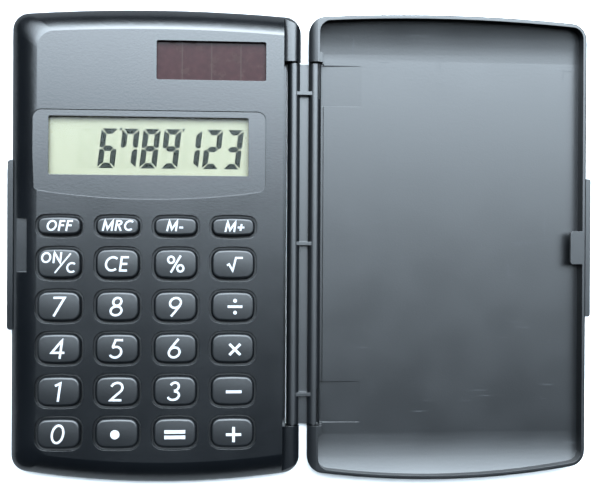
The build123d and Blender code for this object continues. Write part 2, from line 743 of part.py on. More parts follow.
def battery_contact_negative():
    """Disc under the cell with a tab that leaves through the gap in the holder."""
    disc = post(CELL_X, CELL_Y, NEGATIVE_DISC_R, FLOOR, FLOOR + CONTACT_THICK)
    tab = block(CELL_X - 5, CELL_X - 3, CELL_Y - 8, CELL_Y, FLOOR, FLOOR + CONTACT_THICK)
    return solid_of(disc + tab)


def arched_wire(x, y0, y1, z0, rise):
    """Wire that climbs from a contact, turns over in a half circle and drops on to the board."""
    start = (x, y0, z0)
    high = z0 + rise
    radius = (y0 - y1) / 2
    path = Wire(
        [
            Line(start, (x, y0, high)),
            ThreePointArc((x, y0, high), (x, y1 + radius, high + radius), (x, y1, high)),
            Line((x, y1, high), (x, y1, BOARD_TOP_Z)),
        ]
    )
    return wire(start, path)


def battery_wires():
    top = CELL_Z + CELL_HEIGHT + CONTACT_THICK
    floor_top = FLOOR + CONTACT_THICK
    positive = arched_wire(CELL_X, BOARD_HIGH + 0.65, BOARD_HIGH - 0.75, top, 0.05)
    negative = arched_wire(CELL_X - 4, BOARD_HIGH + 0.5, BOARD_HIGH - 1.2, floor_top, 2.3)
    return [positive, negative]


# ---- fasteners --------------------------------------------------------------------------------------
def screw(x, y, head_r, head_z0, head_z1, shaft_r, shaft_z1):
    """Pan head screw with a cross recess, driven upwards from below."""
    head = post(x, y, head_r, head_z0, head_z1)
    head = fillet(head.faces().sort_by(Axis.Z)[0].edges(), 0.3)
    arm = head_r * 0.6
    for dx, dy in ((arm, CROSS_HALF), (CROSS_HALF, arm)):
        head -= block(x - dx, x + dx, y - dy, y + dy, head_z0 - CLEAR, head_z0 + CROSS_DEPTH)
    return solid_of(head + post(x, y, shaft_r, head_z1, shaft_z1))


def case_screws():
    head = (CASE_HEAD_R, CASE_HEAD_Z, CASE_HEAD_TOP_Z)
    return [screw(x, y, *head, CASE_SHAFT_R, SCREW_TOP_Z) for x, y in CASE_SCREWS]


def board_screws():
    head = (BOARD_HEAD_R, BOARD_HEAD_Z, BOARD_BOTTOM_Z)
    return [screw(x, y, *head, BOARD_SHAFT_R, SCREW_TOP_Z) for x, y in BOARD_SCREWS]


# ---- all the parts ----------------------------------------------------------------------------------
def all_parts():
    parts = {
        "front_case": front_case(),
        "rear_case": rear_case(),
        "hinge_link": hinge_link(),
        "flip_cover": flip_cover(),
        "dome_sheet": dome_sheet(),
        "contact_pills": contact_pills(),
        "circuit_board": circuit_board(),
        "chip_epoxy": chip_epoxy(),
        "resistors": resistors(),
        "capacitor": capacitor(),
        "lcd_window": lcd_window(),
        "lcd_polariser_front": lcd_polariser_front(),
        "lcd_glass_front": glass_layer(0, FRONT_GLASS_Z, GLASS_THICK),
        "lcd_glass_rear": glass_layer(LEDGE, REAR_GLASS_Z, GLASS_THICK),
        "lcd_reflector": glass_layer(LEDGE, REFLECTOR_Z, FILM),
        "lcd_foam_pad": glass_layer(LEDGE + 1, BOARD_TOP_Z, REFLECTOR_Z - BOARD_TOP_Z),
        "zebra_strip": zebra_strip(),
        "solar_cell": solar_layer(0, SOLAR_Z, SOLAR_TOP_Z),
        "solar_cell_backing": solar_layer(0.2, SOLAR_Z - SOLAR_BACKING, SOLAR_Z),
        "solar_foam_pad": solar_foam_pad(),
        "solar_wires": solar_wires(),
        "button_cell": button_cell(),
        "battery_contact_positive": battery_contact_positive(),
        "battery_contact_negative": battery_contact_negative(),
        "battery_wires": battery_wires(),
        "board_screws": board_screws(),
        "case_screws": case_screws(),
    }
    shapes = {row: key(row) for row in (0, 1)}
    for name, row, x, y in key_places():
        parts[name] = Pos(x, y, 0) * shapes[min(row, 1)]
    return parts


os.makedirs("parts", exist_ok=True)
for name, shape in all_parts().items():
    if isinstance(shape, list):
        shape = Compound(children=shape)
    export_step(shape, "parts/" + name + ".step")
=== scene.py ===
import bpy
from math import cos, hypot, pi, radians, sin, sqrt, tan
from mathutils import Matrix, Vector
import bmesh


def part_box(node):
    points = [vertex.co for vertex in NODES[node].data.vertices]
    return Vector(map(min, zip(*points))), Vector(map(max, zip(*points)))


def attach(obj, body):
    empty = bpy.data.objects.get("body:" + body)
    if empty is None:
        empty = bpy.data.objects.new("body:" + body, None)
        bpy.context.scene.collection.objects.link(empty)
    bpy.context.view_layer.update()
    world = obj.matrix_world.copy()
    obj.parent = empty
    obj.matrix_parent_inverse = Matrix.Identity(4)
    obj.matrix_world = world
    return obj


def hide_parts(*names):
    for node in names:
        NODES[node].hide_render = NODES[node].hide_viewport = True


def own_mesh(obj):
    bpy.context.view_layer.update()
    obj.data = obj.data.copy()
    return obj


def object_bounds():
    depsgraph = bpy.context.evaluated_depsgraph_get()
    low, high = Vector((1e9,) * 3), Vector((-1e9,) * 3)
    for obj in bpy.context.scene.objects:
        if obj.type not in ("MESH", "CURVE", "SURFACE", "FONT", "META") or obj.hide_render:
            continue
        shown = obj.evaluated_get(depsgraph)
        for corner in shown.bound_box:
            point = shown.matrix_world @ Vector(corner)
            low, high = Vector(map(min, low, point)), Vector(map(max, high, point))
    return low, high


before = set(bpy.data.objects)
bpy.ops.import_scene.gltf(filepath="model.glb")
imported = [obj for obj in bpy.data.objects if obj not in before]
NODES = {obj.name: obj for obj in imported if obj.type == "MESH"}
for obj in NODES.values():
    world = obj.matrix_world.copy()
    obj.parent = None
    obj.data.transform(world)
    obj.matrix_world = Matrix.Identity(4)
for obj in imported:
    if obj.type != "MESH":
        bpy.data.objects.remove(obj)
cad_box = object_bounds()

# Everything is in metres, in the CAD frame: +X to the hinge and cover, +Y to the solar cell, +Z up.
MM = 0.001
KEYS = sorted(n for n in NODES if n.startswith("key_"))


# ---- node helpers --------------------------------------------------------------------------------
class Shader:
    """A material under construction: node tree, principled shader and object coordinates."""

    def __init__(self, name):
        self.material = bpy.data.materials.new(name)
        self.material.use_nodes = True
        self.tree = self.material.node_tree
        self.principled = self.tree.nodes["Principled BSDF"]
        self.output = self.tree.nodes["Material Output"]
        self.coords = self.tree.nodes.new("ShaderNodeTexCoord").outputs["Object"]

    def node(self, kind, inputs=None, **settings):
        made = self.tree.nodes.new(kind)
        for key, value in settings.items():
            setattr(made, key, value)
        for key, value in (inputs or {}).items():
            self.link(value, made.inputs[key])
        return made

    def link(self, value, socket):
        if isinstance(value, bpy.types.NodeSocket):
            self.tree.links.new(value, socket)
        else:
            socket.default_value = value

    def set(self, **values):
        for key, value in values.items():
            self.link(value, self.principled.inputs[key.replace("_", " ")])

    def math(self, operation, a, b=0.0, c=0.0):
        made = self.node("ShaderNodeMath", {0: a, 1: b, 2: c}, operation=operation)
        return made.outputs[0]

    def noise(self, size, detail=2.0, stretch=(1, 1, 1), offset=(0, 0, 0)):
        """Noise whose features measure about size metres."""
        placed = {"Vector": self.coords, "Scale": stretch, "Location": offset}
        mapped = self.node("ShaderNodeMapping", placed)
        inputs = {"Vector": mapped.outputs[0], "Scale": 1.0 / size, "Detail": detail}
        return self.node("ShaderNodeTexNoise", inputs).outputs["Fac"]

    def ramp(self, fac, low, high):
        """Smooth step: 0 at low and beyond it, 1 at high and beyond it."""
        inputs = {"Value": fac, "From Min": low, "From Max": high}
        made = self.node("ShaderNodeMapRange", inputs, interpolation_type="SMOOTHSTEP")
        return made.outputs[0]

    def mix(self, fac, a, b):
        made = self.node("ShaderNodeMix", data_type="RGBA")
        for socket, value in ((0, fac), (6, a), (7, b)):
            self.link(value, made.inputs[socket])
        return made.outputs[2]

    def lerp(self, fac, a, b):
        made = self.node("ShaderNodeMix", {0: fac, 2: a, 3: b}, data_type="FLOAT")
        return made.outputs[0]

    def bump(self, height, distance, normal=None):
        inputs = {"Height": height, "Distance": distance, "Strength": 1.0}
        if normal is not None:
            inputs["Normal"] = normal
        return self.node("ShaderNodeBump", inputs).outputs[0]

    def bevel(self, radius):
        made = self.node("ShaderNodeBevel", {"Radius": radius})
        made.samples = BEVEL_SAMPLES
        return made.outputs[0]

    def axis(self, letter):
        split = self.node("ShaderNodeSeparateXYZ", {"Vector": self.coords})
        return split.outputs[letter]


def colour(r, g, b):
    return (r, g, b, 1.0)


# ---- material values -----------------------------------------------------------------------------
BEVEL_SAMPLES = 6
WORN_EDGE = 0.12 * MM
GRAIN_DEPTH = 0.014 * MM
COARSE_GRAIN = 0.5 * MM
COARSE_SHARE = 0.6
# Base colours as linear red, green and blue, each from its darkest to its lightest.
PLASTIC = (0.0018, 0.0024, 0.0032), (0.0030, 0.0038, 0.0050)
CARBON = (0.008, 0.008, 0.008), (0.02, 0.02, 0.02)
SILICONE = (0.36, 0.37, 0.37), (0.48, 0.49, 0.48)
CLEAR_GLASS = (0.985, 0.995, 0.985)
SOLAR_STRIPS = 4
TRACK_PITCH = 1.9 * MM
FOAM_CELL = 0.35 * MM


# ---- materials -----------------------------------------------------------------------------------
def moulded_plastic(name, roughness, grain=0.22, scuffs=0.0, specular=0.75):
    """Satin moulded plastic: spark-eroded grain, cloudy sheen, rubbed edges, and fine scuffs."""
    base, light = PLASTIC
    s = Shader(name)
    normal = s.bevel(WORN_EDGE)
    geometry = s.node("ShaderNodeNewGeometry")
    both = {0: normal, 1: geometry.outputs["Normal"]}
    facing = s.node("ShaderNodeVectorMath", both, operation="DOT_PRODUCT")
    rubbed = s.ramp(facing.outputs["Value"], 0.995, 0.86)
    worn = s.math("MULTIPLY", rubbed, s.ramp(s.noise(3.5 * MM, 3), 0.4, 0.65))
    cloud = s.ramp(s.noise(14 * MM, 4), 0.3, 0.7)
    speckle = s.ramp(s.noise(0.32 * MM, 1, offset=(0.3, 0.1, 0)), 0.68, 0.8)
    fine = s.noise(grain * MM, 3)
    tint = s.mix(s.math("MULTIPLY", cloud, 0.35), colour(*base), colour(*light))
    tint = s.mix(s.math("MULTIPLY", speckle, 0.6), tint, colour(*[4 * c for c in light]))
    tint = s.mix(s.math("MULTIPLY", worn, 0.5), tint, colour(*[3 * c for c in light]))
    rough = s.math("MULTIPLY_ADD", cloud, 0.03, roughness - 0.015)
    rough = s.math("MULTIPLY_ADD", fine, 0.1, rough)
    coarse = s.noise(COARSE_GRAIN, 2, offset=(0, 0.4, 0.2))
    height = s.lerp(COARSE_SHARE, fine, coarse)
    if scuffs:
        marks = scratch_marks(s)
        rough = s.math("MULTIPLY_ADD", marks, 0.25 * scuffs, rough)
        scratched = colour(*[6 * c for c in light])
        tint = s.mix(s.math("MULTIPLY", marks, 0.35 * scuffs), tint, scratched)
    s.set(Base_Color=tint, Roughness=rough, Specular_IOR_Level=specular)
    s.set(Normal=s.bump(height, GRAIN_DEPTH, normal))
    return s.material


def scratch_marks(s):
    """Fine scratches in two directions, in patches."""
    patch = s.ramp(s.noise(16 * MM, 2, offset=(0.5, 0.2, 0)), 0.5, 0.66)
    along = s.ramp(s.noise(0.5 * MM, 1, stretch=(0.06, 1.0, 1.0)), 0.69, 0.76)
    across = s.noise(0.6 * MM, 1, stretch=(0.7, 0.045, 1.0), offset=(0.1, 0, 0))
    across = s.ramp(across, 0.71, 0.78)
    return s.math("MULTIPLY", patch, s.math("MAXIMUM", along, across))


def printed_ink():
    """Slightly uneven white print."""
    s = Shader("legend_ink")
    wear = s.ramp(s.noise(0.35 * MM, 3), 0.62, 0.8)
    s.set(Base_Color=s.mix(wear, colour(0.40, 0.41, 0.43), colour(0.30, 0.31, 0.34)))
    s.set(Roughness=s.lerp(s.noise(0.2 * MM), 0.42, 0.6))
    s.set(Normal=s.bump(s.noise(0.12 * MM), 0.006 * MM))
    return s.material


def clear_layer(name, tint, gloss, roughness=0.03, dust=0.0):
    """Thin clear layer: lets light straight through, with a fresnel reflection on top."""
    s = Shader(name)
    through = s.node("ShaderNodeBsdfTransparent", {"Color": colour(*tint)})
    wave = s.bump(s.noise(9 * MM, 1), 0.01 * MM)
    shine_rough = s.lerp(s.ramp(s.noise(5 * MM, 4), 0.4, 0.7), roughness, roughness + 0.05)
    gloss_inputs = {"Color": colour(1, 1, 1), "Roughness": shine_rough, "Normal": wave}
    shine = s.node("ShaderNodeBsdfGlossy", gloss_inputs)
    fresnel = s.node("ShaderNodeFresnel", {"IOR": 1.45}).outputs[0]
    amount = s.math("MULTIPLY", fresnel, gloss)
    mixed = s.node("ShaderNodeMixShader", {0: amount, 1: through.outputs[0], 2: shine.outputs[0]})
    shader = mixed.outputs[0]
    if dust:
        specks = s.math("MULTIPLY", s.ramp(s.noise(0.4 * MM, 2), 0.66, 0.8), dust)
        dull = s.node("ShaderNodeBsdfDiffuse", {"Color": colour(0.6, 0.62, 0.6)})
        mixed = s.node("ShaderNodeMixShader", {0: specks, 1: shader, 2: dull.outputs[0]})
        shader = mixed.outputs[0]
    s.link(shader, s.output.inputs["Surface"])
    return s.material


def reflector_film(name):
    """Pale green-cream film that the liquid crystal is read against."""
    s = Shader(name)
    cloud = s.noise(6 * MM, 4)
    grain = s.noise(0.15 * MM, 2)
    tint = s.mix(cloud, colour(0.256, 0.237, 0.160), colour(0.283, 0.258, 0.18))
    tint = s.mix(s.math("MULTIPLY", grain, 0.3), tint, colour(0.224, 0.208, 0.144))
    s.set(Base_Color=tint, Roughness=0.6, Normal=s.bump(grain, 0.004 * MM))
    return s.material


def segment_dark():
    """Switched-on liquid crystal: nearly black, with a slight green cast."""
    s = Shader("segment_dark")
    tint = s.mix(s.noise(0.5 * MM, 2), colour(0.004, 0.006, 0.004), colour(0.012, 0.015, 0.011))
    s.set(Base_Color=tint, Roughness=0.5, Specular_IOR_Level=0.02)
    return s.material


def segment_ghost():
    """Switched-off segment: barely darker than the film behind it."""
    s = Shader("segment_ghost")
    shade = s.mix(s.noise(1.0 * MM, 2), colour(0.955, 0.96, 0.95), colour(0.975, 0.98, 0.97))
    through = s.node("ShaderNodeBsdfTransparent", {"Color": shade})
    s.link(through.outputs[0], s.output.inputs["Surface"])
    return s.material


def solar_glass():
    """Amorphous silicon under glass: dark maroon strips, fine division lines and smudges."""
    s = Shader("solar_glass")
    low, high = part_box("solar_cell")
    width = (high.x - low.x) / SOLAR_STRIPS
    position = s.math("DIVIDE", s.math("SUBTRACT", s.axis("X"), low.x), width)
    offset = s.math("ABSOLUTE", s.math("SUBTRACT", s.math("FRACT", position), 0.5))
    line = s.ramp(offset, 0.478, 0.49)
    smudge = s.ramp(s.noise(2.4 * MM, 4), 0.48, 0.7)
    silicon = s.mix(s.noise(1.2 * MM, 3), colour(0.020, 0.008, 0.009), colour(0.042, 0.016, 0.017))
    tint = s.mix(s.math("MULTIPLY", line, 0.8), silicon, colour(0.05, 0.034, 0.03))
    tint = s.mix(s.math("MULTIPLY", smudge, 0.35), tint, colour(0.045, 0.03, 0.026))
    s.set(Base_Color=tint, Roughness=s.lerp(smudge, 0.12, 0.38), Specular_IOR_Level=0.1)
    s.set(Normal=s.bump(s.noise(4 * MM, 2), 0.01 * MM))
    return s.material


def soft_rubber(name, dark, light, roughness=0.62):
    s = Shader(name)
    tint = s.mix(s.noise(1.5 * MM, 4), colour(*dark), colour(*light))
    s.set(Base_Color=tint, Roughness=s.lerp(s.noise(0.4 * MM), roughness - 0.08, roughness + 0.08))
    s.set(Normal=s.bump(s.noise(0.25 * MM, 3), 0.02 * MM, s.bevel(0.15 * MM)))
    return s.material


def metal(name, dark, light, roughness, brushed=(1, 0.05, 1)):
    """Plated metal with fine brushing and a few dull spots."""
    s = Shader(name)
    lines = s.noise(0.2 * MM, 3, stretch=brushed)
    spots = s.ramp(s.noise(1.4 * MM, 4), 0.55, 0.75)
    tint = s.mix(lines, colour(*dark), colour(*light))
    tint = s.mix(s.math("MULTIPLY", spots, 0.3), tint, colour(*[c * 0.5 for c in dark]))
    s.set(Base_Color=tint, Metallic=1.0)
    s.set(Roughness=s.lerp(spots, roughness, roughness + 0.2))
    s.set(Normal=s.bump(lines, 0.006 * MM, s.bevel(0.1 * MM)))
    return s.material


def board_laminate():
    """Paper laminate with carbon tracks and contact pads under a pale lacquer."""
    s = Shader("board_laminate")
    fibre = s.noise(0.6 * MM, 5, stretch=(1, 0.3, 1))
    base = s.mix(fibre, colour(0.30, 0.20, 0.08), colour(0.42, 0.30, 0.13))
    wave = s.math("MULTIPLY", s.noise(18 * MM, 1), 5.0)
    phase = s.math("FRACT", s.math("ADD", s.math("DIVIDE", s.axis("X"), TRACK_PITCH), wave))
    track = s.ramp(s.math("ABSOLUTE", s.math("SUBTRACT", phase, 0.5)), 0.34, 0.37)
    gaps = s.ramp(s.noise(7 * MM, 0), 0.44, 0.47)
    tracks = s.math("MULTIPLY", track, gaps)
    tint = s.mix(tracks, base, colour(0.09, 0.16, 0.07))
    s.set(Base_Color=tint, Roughness=s.lerp(fibre, 0.35, 0.5))
    s.set(Normal=s.bump(tracks, 0.02 * MM))
    return s.material


def foam():
    s = Shader("foam")
    cells = s.node("ShaderNodeTexVoronoi", {"Vector": s.coords, "Scale": 1.0 / FOAM_CELL})
    distance = cells.outputs["Distance"]
    s.set(Base_Color=s.mix(distance, colour(0.03, 0.03, 0.032), colour(0.09, 0.09, 0.095)))
    s.set(Roughness=0.9, Normal=s.bump(distance, 0.08 * MM))
    return s.material


def table_top():
    """Plain pale floor with a faint mottle, which throws little light back on the object."""
    s = Shader("table_top")
    mottle = s.noise(0.05, 3)
    pale = s.mix(mottle, *FLOOR_PALE)
    seen = s.node("ShaderNodeLightPath").outputs["Is Camera Ray"]
    s.set(Base_Color=s.mix(seen, FLOOR_BOUNCE, pale), Roughness=0.9)
    s.set(Specular_IOR_Level=0.1)
    return s.material


def dress_nodes():
    """Gives every CAD node its material."""
    shell = moulded_plastic("case_plastic", 0.18)
    lid = moulded_plastic("cover_plastic", 0.27, scuffs=1.0)
    strip = moulded_plastic("link_plastic", 0.28, specular=0.9)
    caps = moulded_plastic("key_plastic", 0.30, grain=0.15, specular=0.62)
    carbon = soft_rubber("carbon_rubber", *CARBON)
    foam_pad = foam()
    film = reflector_film("reflector_film")
    polariser = reflector_film("polariser_film")
    contact = metal("contact_steel", (0.55, 0.52, 0.46), (0.72, 0.70, 0.64), 0.25)
    sleeve_red = soft_rubber("wire_red", (0.30, 0.015, 0.012), (0.42, 0.03, 0.02), 0.45)
    sleeve_black = soft_rubber("wire_black", (0.012, 0.012, 0.013), (0.025, 0.025, 0.026), 0.45)
    chosen = {
        "front_case": shell,
        "rear_case": shell,
        "flip_cover": lid,
        "hinge_link": strip,
        "circuit_board": board_laminate(),
        "chip_epoxy": soft_rubber("epoxy_drop", (0.008, 0.008, 0.009), (0.016, 0.016, 0.017), 0.2),
        "resistors": soft_rubber("component_body", (0.02, 0.02, 0.022), (0.05, 0.05, 0.05), 0.4),
        "capacitor": metal("can_metal", (0.6, 0.6, 0.62), (0.75, 0.75, 0.76), 0.3),
        "lcd_window": clear_layer("clear_lens", (0.97, 0.985, 0.975), 0.35, 0.05, dust=0.03),
        "lcd_polariser_front": polariser,
        "lcd_glass_front": clear_layer("glass_front", CLEAR_GLASS, 0.1),
        "lcd_glass_rear": clear_layer("glass_rear", CLEAR_GLASS, 0.1),
        "lcd_reflector": film,
        "lcd_foam_pad": foam_pad,
        "zebra_strip": carbon,
        "solar_cell": solar_glass(),
        "solar_cell_backing": film,
        "solar_foam_pad": foam_pad,
        "solar_wires": sleeve_red,
        "button_cell": metal("cell_steel", (0.62, 0.62, 0.60), (0.78, 0.78, 0.76), 0.2, (1, 1, 1)),
        "battery_contact_positive": contact,
        "battery_contact_negative": contact,
        "battery_wires": sleeve_black,
        "board_screws": metal("screw_board", (0.42, 0.42, 0.43), (0.6, 0.6, 0.6), 0.3, (1, 1, 1)),
        "case_screws": metal("screw_case", (0.30, 0.30, 0.31), (0.5, 0.5, 0.5), 0.3, (1, 1, 1)),
    }
    for name in KEYS:
        chosen[name] = caps
    for name, material in chosen.items():
        mesh = NODES[name].data
        mesh.materials.clear()
        mesh.materials.append(material)


# ---- mesh helpers --------------------------------------------------------------------------------
def new_piece(name, vertices, faces, material, body, smooth=False):
    mesh = bpy.data.meshes.new(name)
    mesh.from_pydata([Vector(v) for v in vertices], [], faces)
    mesh.materials.append(material)
    mesh.validate()
    for polygon in mesh.polygons:
        polygon.use_smooth = smooth
    piece = bpy.data.objects.new(name, mesh)
    bpy.context.scene.collection.objects.link(piece)
    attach(piece, body)
    return piece


def arc(cx, cy, rx, ry, start, end, steps=20):
    """Points along an elliptical arc, angles in degrees."""
    angles = [radians(start + (end - start) * i / steps) for i in range(steps + 1)]
    return [(cx + rx * cos(a), cy + ry * sin(a)) for a in angles]


def ribbon(points, width, closed=False):
    """Left and right edge points of a stroke of constant width, mitred at its corners."""
    count = len(points)
    left, right = [], []
    for i, (x, y) in enumerate(points):
        before = points[i - 1] if i or closed else None
        after = points[(i + 1) % count] if i < count - 1 or closed else None
        ways = []
        if before:
            ways.append((x - before[0], y - before[1]))
        if after:
            ways.append((after[0] - x, after[1] - y))
        units = [(a / hypot(a, b), b / hypot(a, b)) for a, b in ways if hypot(a, b) > 1e-9]
        dx = sum(u[0] for u in units)
        dy = sum(u[1] for u in units)
        length = hypot(dx, dy)
        dx, dy = dx / length, dy / length
        half = width / 2
        if len(units) == 2:
            half /= max(SHARPEST_MITRE, units[0][0] * dx + units[0][1] * dy)
        left.append((x - dy * half, y + dx * half))
        right.append((x + dy * half, y - dx * half))
    return left, right


# ---- lettering -----------------------------------------------------------------------------------
# Each glyph is its width and its strokes, drawn along centre lines in a box one unit high.
def glyphs(w):
    """Stroke glyphs for a stroke width w, as a share of the height."""
    h = w / 2
    top, low = 1 - h, h

    def ring(cx, cy, rx, ry):
        return arc(cx, cy, rx, ry, 0, 360 - 360 / 28, 27) + ["closed"]

    return {
        "0": (0.68, [ring(0.34, 0.5, 0.34 - h, 0.5 - h)]),
        "1": (0.36, [[(0.0, 0.80), (0.25, top - 0.02), (0.25, 0)]]),
        "2": (0.68, [
            arc(0.34, 0.68, 0.34 - h, 0.32 - h, 165, -38, 14) + [(0.10, low), (0.66, low)],
        ]),
        "3": (0.62, [
            arc(0.28, 0.735, 0.27 - h, 0.265 - h, 160, -90, 14),
            arc(0.28, 0.28, 0.34 - h, 0.28 - h, 90, -160, 16),
        ]),
        "4": (0.70, [[(0.50, 0), (0.50, 0.94), (0.06, 0.25 + h), (0.70, 0.25 + h)]]),
        "5": (0.66, [
            [(0.60, top), (0.22, top), (0.13, 0.56)],
            arc(0.30, 0.33, 0.35 - h, 0.33 - h, 128, -150, 18),
        ]),
        "6": (0.66, [
            ring(0.33, 0.31, 0.33 - h, 0.31 - h),
            [(0.46, 1.0), (0.30, 0.78), (0.08, 0.44)],
        ]),
        "7": (0.64, [[(0.02, top), (0.58, top), (0.16, 0)]]),
        "8": (0.66, [
            ring(0.33, 0.745, 0.26 - h, 0.255 - h),
            ring(0.33, 0.285, 0.33 - h, 0.285 - h),
        ]),
        "9": (0.66, [
            ring(0.33, 0.69, 0.33 - h, 0.31 - h),
            [(0.20, 0), (0.36, 0.22), (0.58, 0.56)],
        ]),
        "O": (0.92, [ring(0.46, 0.5, 0.46 - h, 0.5 - h)]),
        "F": (0.52, [[(0.52, top), (h, top), (h, 0)], [(h, 0.52), (0.48, 0.52)]]),
        "M": (0.98, [[(h, 0), (h + 0.04, 0.96), (0.49, 0.16), (0.94 - h, 0.96), (0.98 - h, 0)]]),
        "R": (0.64, [
            [(h, 0), (h, top), (0.32, top)]
            + arc(0.34, 0.745, 0.26 - h, 0.255 - h, 90, -90, 10) + [(h, 0.5)],
            [(0.30, 0.5), (0.60, 0)],
        ]),
        "C": (0.80, [arc(0.48, 0.5, 0.48 - h, 0.5 - h, 48, 312, 18)]),
        "N": (0.78, [[(h, 0), (h, 0.97), (0.78 - h, 0.03), (0.78 - h, 1)]]),
        "E": (0.52, [[(0.52, top), (h, top), (h, low), (0.52, low)], [(h, 0.5), (0.48, 0.5)]]),
        "-": (0.36, [[(0, 0.34), (0.36, 0.34)]]),
        "p": (0.62, [[(0, 0.42), (0.62, 0.42)], [(0.31, 0.11), (0.31, 0.73)]]),
        "%": (1.0, [
            ring(0.24, 0.75, 0.24 - h, 0.25 - h),
            ring(0.78, 0.25, 0.24 - h, 0.25 - h),
            [(0.80, 1.0), (0.22, 0.0)],
        ]),
        "/": (0.80, [[(0.80, 1.0), (0.0, 0.0)]]),
        "root": (1.05, [[(0, 0.42), (0.14, 0.50), (0.38, 0.06), (0.60, top), (1.06, top)]]),
        "divide": (1.0, [[(0, 0.5), (1.0, 0.5)]]),
        "times": (1.0, [[(0.04, 0.04), (0.96, 0.96)], [(0.04, 0.96), (0.96, 0.04)]]),
        "minus": (1.0, [[(0, 0.5), (1.0, 0.5)]]),
        "plus": (1.0, [[(0, 0.5), (1.0, 0.5)], [(0.5, 0), (0.5, 1.0)]]),
        "equals": (1.0, [[(0, 0.63), (1.0, 0.63)], [(0, 0.37), (1.0, 0.37)]]),
    }


def dot(cx, cy, radius):
    """Filled disc as a fan of points."""
    return [(cx, cy)] + arc(cx, cy, radius, radius, 0, 360 - 15, 23)


# Legend of each key: glyphs, height, stroke, x and y of the middle, slant. Millimetres, degrees.
DIGIT = (4.6, 0.52)
WORD = (2.55, 0.44)
LEGENDS = {
    "key_off": [("OFF", *WORD, 0.1, 0.1, 11)],
    "key_mrc": [("MRC", *WORD, 0.1, 0.2, 11)],
    "key_m_minus": [("M-", *WORD, -0.1, 0.2, 11)],
    "key_m_plus": [("Mp", *WORD, 0.4, 0.1, 11)],
    "key_on_c": [
        ("ON", *WORD, -1.7, 1.4, 6), ("/", 4.6, 0.36, 0.9, 0.1, 0), ("C", *WORD, 2.75, -0.9, 6),
    ],
    "key_ce": [("CE", 3.6, 0.50, -0.2, 0.0, 8)],
    "key_percent": [("%", 4.0, 0.48, 0.0, 0.0, 0)],
    "key_sqrt": [(["root"], 3.5, 0.46, 0.4, 0.0, 0)],
    "key_divide": [(["divide"], 3.5, 0.60, 0.5, 0.0, 0)],
    "key_multiply": [(["times"], 2.8, 0.60, 0.5, -0.2, 0)],
    "key_minus": [(["minus"], 3.7, 0.66, 0.3, -0.2, 0)],
    "key_plus": [(["plus"], 3.6, 0.66, 0.3, -0.4, 0)],
    "key_equals": [(["equals"], 4.9, 0.84, 0.0, -0.3, 0)],
    "key_point": [],
}
for digit in "0123456789":
    LEGENDS["key_" + digit] = [(digit, *DIGIT, -0.1, 0.0, 8)]
DOTS = {"key_point": [(-0.4, -0.2, 1.08)], "key_divide": [(0.5, 1.4, 0.45), (0.5, -1.4, 0.45)]}
CROWN_R = 44.0 * MM  # radius of the rounded top of a key
INK_LIFT = 0.02 * MM
GLYPH_GAP = 0.16  # as a share of the height
LONGEST_STEP = 0.6 * MM
SHARPEST_MITRE = 0.45


def text_strokes(text, height, stroke, slant):
    """Strokes of a run of glyphs in metres, centred on the origin."""
    font = glyphs(stroke / height)
    total = sum(font[g][0] for g in text) + GLYPH_GAP * (len(text) - 1)
    pen = -total / 2
    runs = []
    lean = tan(radians(slant))
    for g in text:
        width, strokes = font[g]
        for points in strokes:
            closed = points[-1] == "closed"
            kept = points[:-1] if closed else points
            placed = [
                ((pen + x + (y - 0.5) * lean) * height * MM, (y - 0.5) * height * MM)
                for x, y in kept
            ]
            runs.append((placed, closed))
        pen += width + GLYPH_GAP
    return runs


def legend(name, material):
    """White print that follows the crown of a key's top."""
    low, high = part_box(name)
    cx, cy = (low.x + high.x) / 2, (low.y + high.y) / 2
    vertices, faces = [], []

    def on_crown(x, y):
        drop = CROWN_R - sqrt(CROWN_R**2 - x * x - y * y)
        return (cx + x, cy + y, high.z - drop + INK_LIFT)

    for text, height, stroke, x0, y0, slant in LEGENDS[name]:
        for points, closed in text_strokes(text, height, stroke, slant):
            points = divided([(x + x0 * MM, y + y0 * MM) for x, y in points], closed)
            left, right = ribbon(points, stroke * MM, closed)
            first = len(vertices)
            for a, b in zip(left, right):
                vertices += [on_crown(*a), on_crown(*b)]
            spans = len(points) if closed else len(points) - 1
            for i in range(spans):
                a = first + 2 * i
                b = first + 2 * ((i + 1) % len(points))
                faces.append((a, a + 1, b + 1, b))
    for x, y, radius in DOTS.get(name, []):
        first = len(vertices)
        rim = dot(x * MM, y * MM, radius * MM)
        vertices += [on_crown(*p) for p in rim]
        count = len(rim) - 1
        faces += [(first, first + 1 + i, first + 1 + (i + 1) % count) for i in range(count)]
    return new_piece("legend_" + name[4:], vertices, faces, material, name)


def divided(points, closed):
    """The same line with long stretches divided, so that it can follow a crown."""
    out = []
    count = len(points)
    for i in range(count if closed else count - 1):
        (x0, y0), (x1, y1) = points[i], points[(i + 1) % count]
        parts = max(1, int(hypot(x1 - x0, y1 - y0) / LONGEST_STEP))
        out += [(x0 + (x1 - x0) * k / parts, y0 + (y1 - y0) * k / parts) for k in range(parts)]
    return out if closed else out + [points[-1]]


